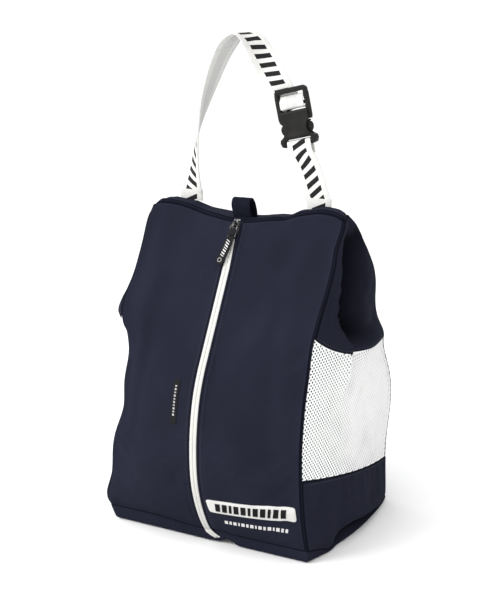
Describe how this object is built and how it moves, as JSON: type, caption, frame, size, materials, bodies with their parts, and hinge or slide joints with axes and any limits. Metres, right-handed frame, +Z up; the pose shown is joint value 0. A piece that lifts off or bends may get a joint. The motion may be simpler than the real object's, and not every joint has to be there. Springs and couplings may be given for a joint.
{
  "type": "golf shoe bag",
  "caption": "Soft wedge-shaped golf shoe bag with a front zip, mesh side windows and a webbing carry handle closed by a side-release buckle.",
  "frame": {"origin": "on the ground under the centre of the bounding box", "axes": "+Z up, -Y the front with the zip, +X the right side as seen from the front"},
  "size_m": [0.235, 0.2339, 0.4789],
  "materials": {
    "navy_fabric": "matt fine plain weave polyester, dark navy",
    "white_mesh": "soft knitted mesh, off-white",
    "white_zip": "woven tape with moulded coil, off-white",
    "white_webbing": null,
    "gunmetal": "plated gunmetal, satin",
    "black_tape": "black woven tape",
    "black_plastic": "moulded acetal, fine matt texture",
    "white_patch": "soft moulded patch, off-white"
  },
  "bodies": {
    "bag": {"front_panel_left": "navy_fabric", "front_panel_right": "navy_fabric", "back_panel": "navy_fabric", "bottom_panel": "navy_fabric", "top_panel": "navy_fabric", "gusset_lower_left": "navy_fabric", "gusset_lower_right": "navy_fabric", "mesh_window_left": "white_mesh", "mesh_window_right": "white_mesh", "gusset_upper_left": "navy_fabric", "gusset_upper_right": "navy_fabric", "zip_tape_left": "white_zip", "zip_tape_right": "white_zip", "zip_coil_left": "white_zip", "zip_coil_right": "white_zip", "zip_top_stop": "gunmetal", "zip_bottom_stop": "white_zip", "loop_tab": "navy_fabric", "side_label": "black_tape", "front_patch": "white_patch", "strap_root_left": "white_webbing", "strap_root_right": "white_webbing"},
    "slider": {"zip_slider": "gunmetal"},
    "pull": {"zip_pull": "gunmetal"},
    "puller": {"puller_tape": "black_tape"},
    "handle": {"strap_long": "white_webbing", "strap_short": "white_webbing", "buckle_socket": "black_plastic"},
    "plug": {"buckle_plug": "black_plastic", "strap_fold": "white_webbing"},
    "prong_left": {"buckle_prong_left": "black_plastic"},
    "prong_right": {"buckle_prong_right": "black_plastic"}
  },
  "joints": [
    {"name": "zip_slide", "type": "slide", "parent": "bag", "child": "slider", "axis": [0, -0.4607, -0.8875], "range_m": [0, 0.11]},
    {"name": "pull_hinge", "type": "hinge", "parent": "slider", "child": "pull", "pos_m": [0, -0.03864, 0.29907], "axis": [-1, 0, 0], "range_deg": [0, 110]},
    {"name": "puller_hinge", "type": "hinge", "parent": "pull", "child": "puller", "pos_m": [0, -0.04427, 0.28825], "axis": [-1, 0, 0], "range_deg": [0, 50]},
    {"name": "handle_swing", "type": "hinge", "parent": "bag", "child": "handle", "pos_m": [0, -0.0051, 0.321], "axis": [1, 0, 0], "range_deg": [-75, 75]},
    {"name": "buckle_release", "type": "slide", "parent": "handle", "child": "plug", "axis": [-0.2181, 0, 0.9759], "range_m": [0, 0.018]},
    {"name": "prong_left_press", "type": "hinge", "parent": "plug", "child": "prong_left", "pos_m": [0.03774, -0.0051, 0.39446], "axis": [0, -1, 0], "range_deg": [0, 6], "stiffness_Nm_per_rad": 1.4},
    {"name": "prong_right_press", "type": "hinge", "parent": "plug", "child": "prong_right", "pos_m": [0.05745, -0.0051, 0.39886], "axis": [0, 1, 0], "range_deg": [0, 6], "stiffness_Nm_per_rad": 1.4}
  ]
}
